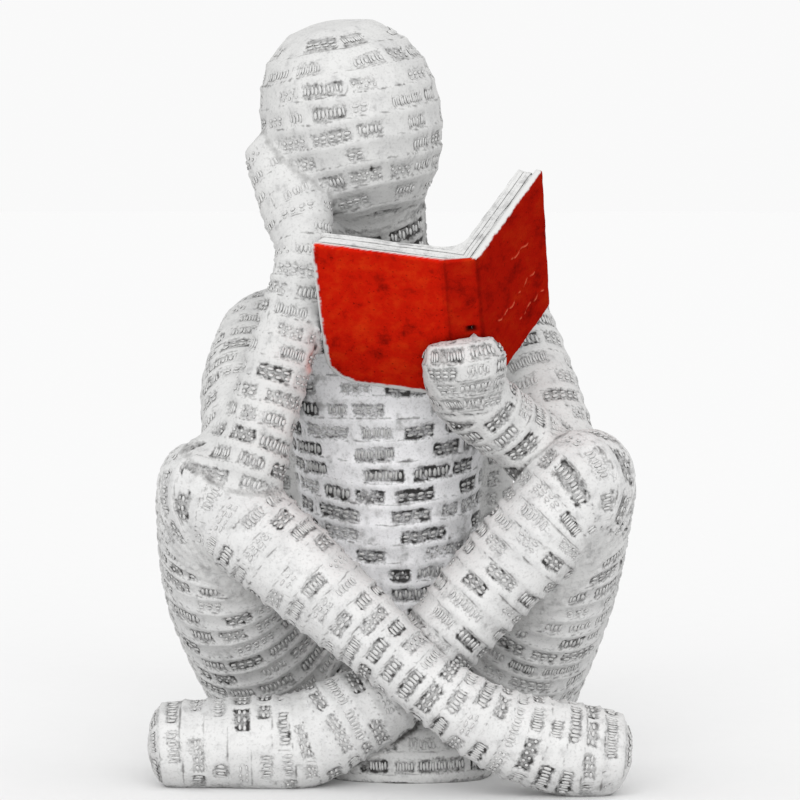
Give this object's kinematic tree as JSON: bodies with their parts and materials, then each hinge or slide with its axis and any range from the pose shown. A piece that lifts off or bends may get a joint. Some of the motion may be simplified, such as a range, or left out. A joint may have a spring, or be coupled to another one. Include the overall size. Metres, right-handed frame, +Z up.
{
  "type": "seated reader statue",
  "caption": "Small faceless seated figure, cross-legged with raised knees, one hand at its cheek, reading an open red book held in the other hand.",
  "frame": {"origin": "middle of the statue's outline seen from above, on the surface that it stands on", "axes": "+Z up; -Y towards the viewer whom the figure faces; +X towards the figure's left hand, the viewer's right"},
  "size_m": [0.0763, 0.0748, 0.12],
  "materials": {
    "washed_resin": "matte white cast resin with a grey wash",
    "red_enamel": "brushed red enamel on cast resin, pages left white"
  },
  "bodies": {
    "root": {"figure": "washed_resin", "book": "red_enamel"}
  },
  "joints": []
}
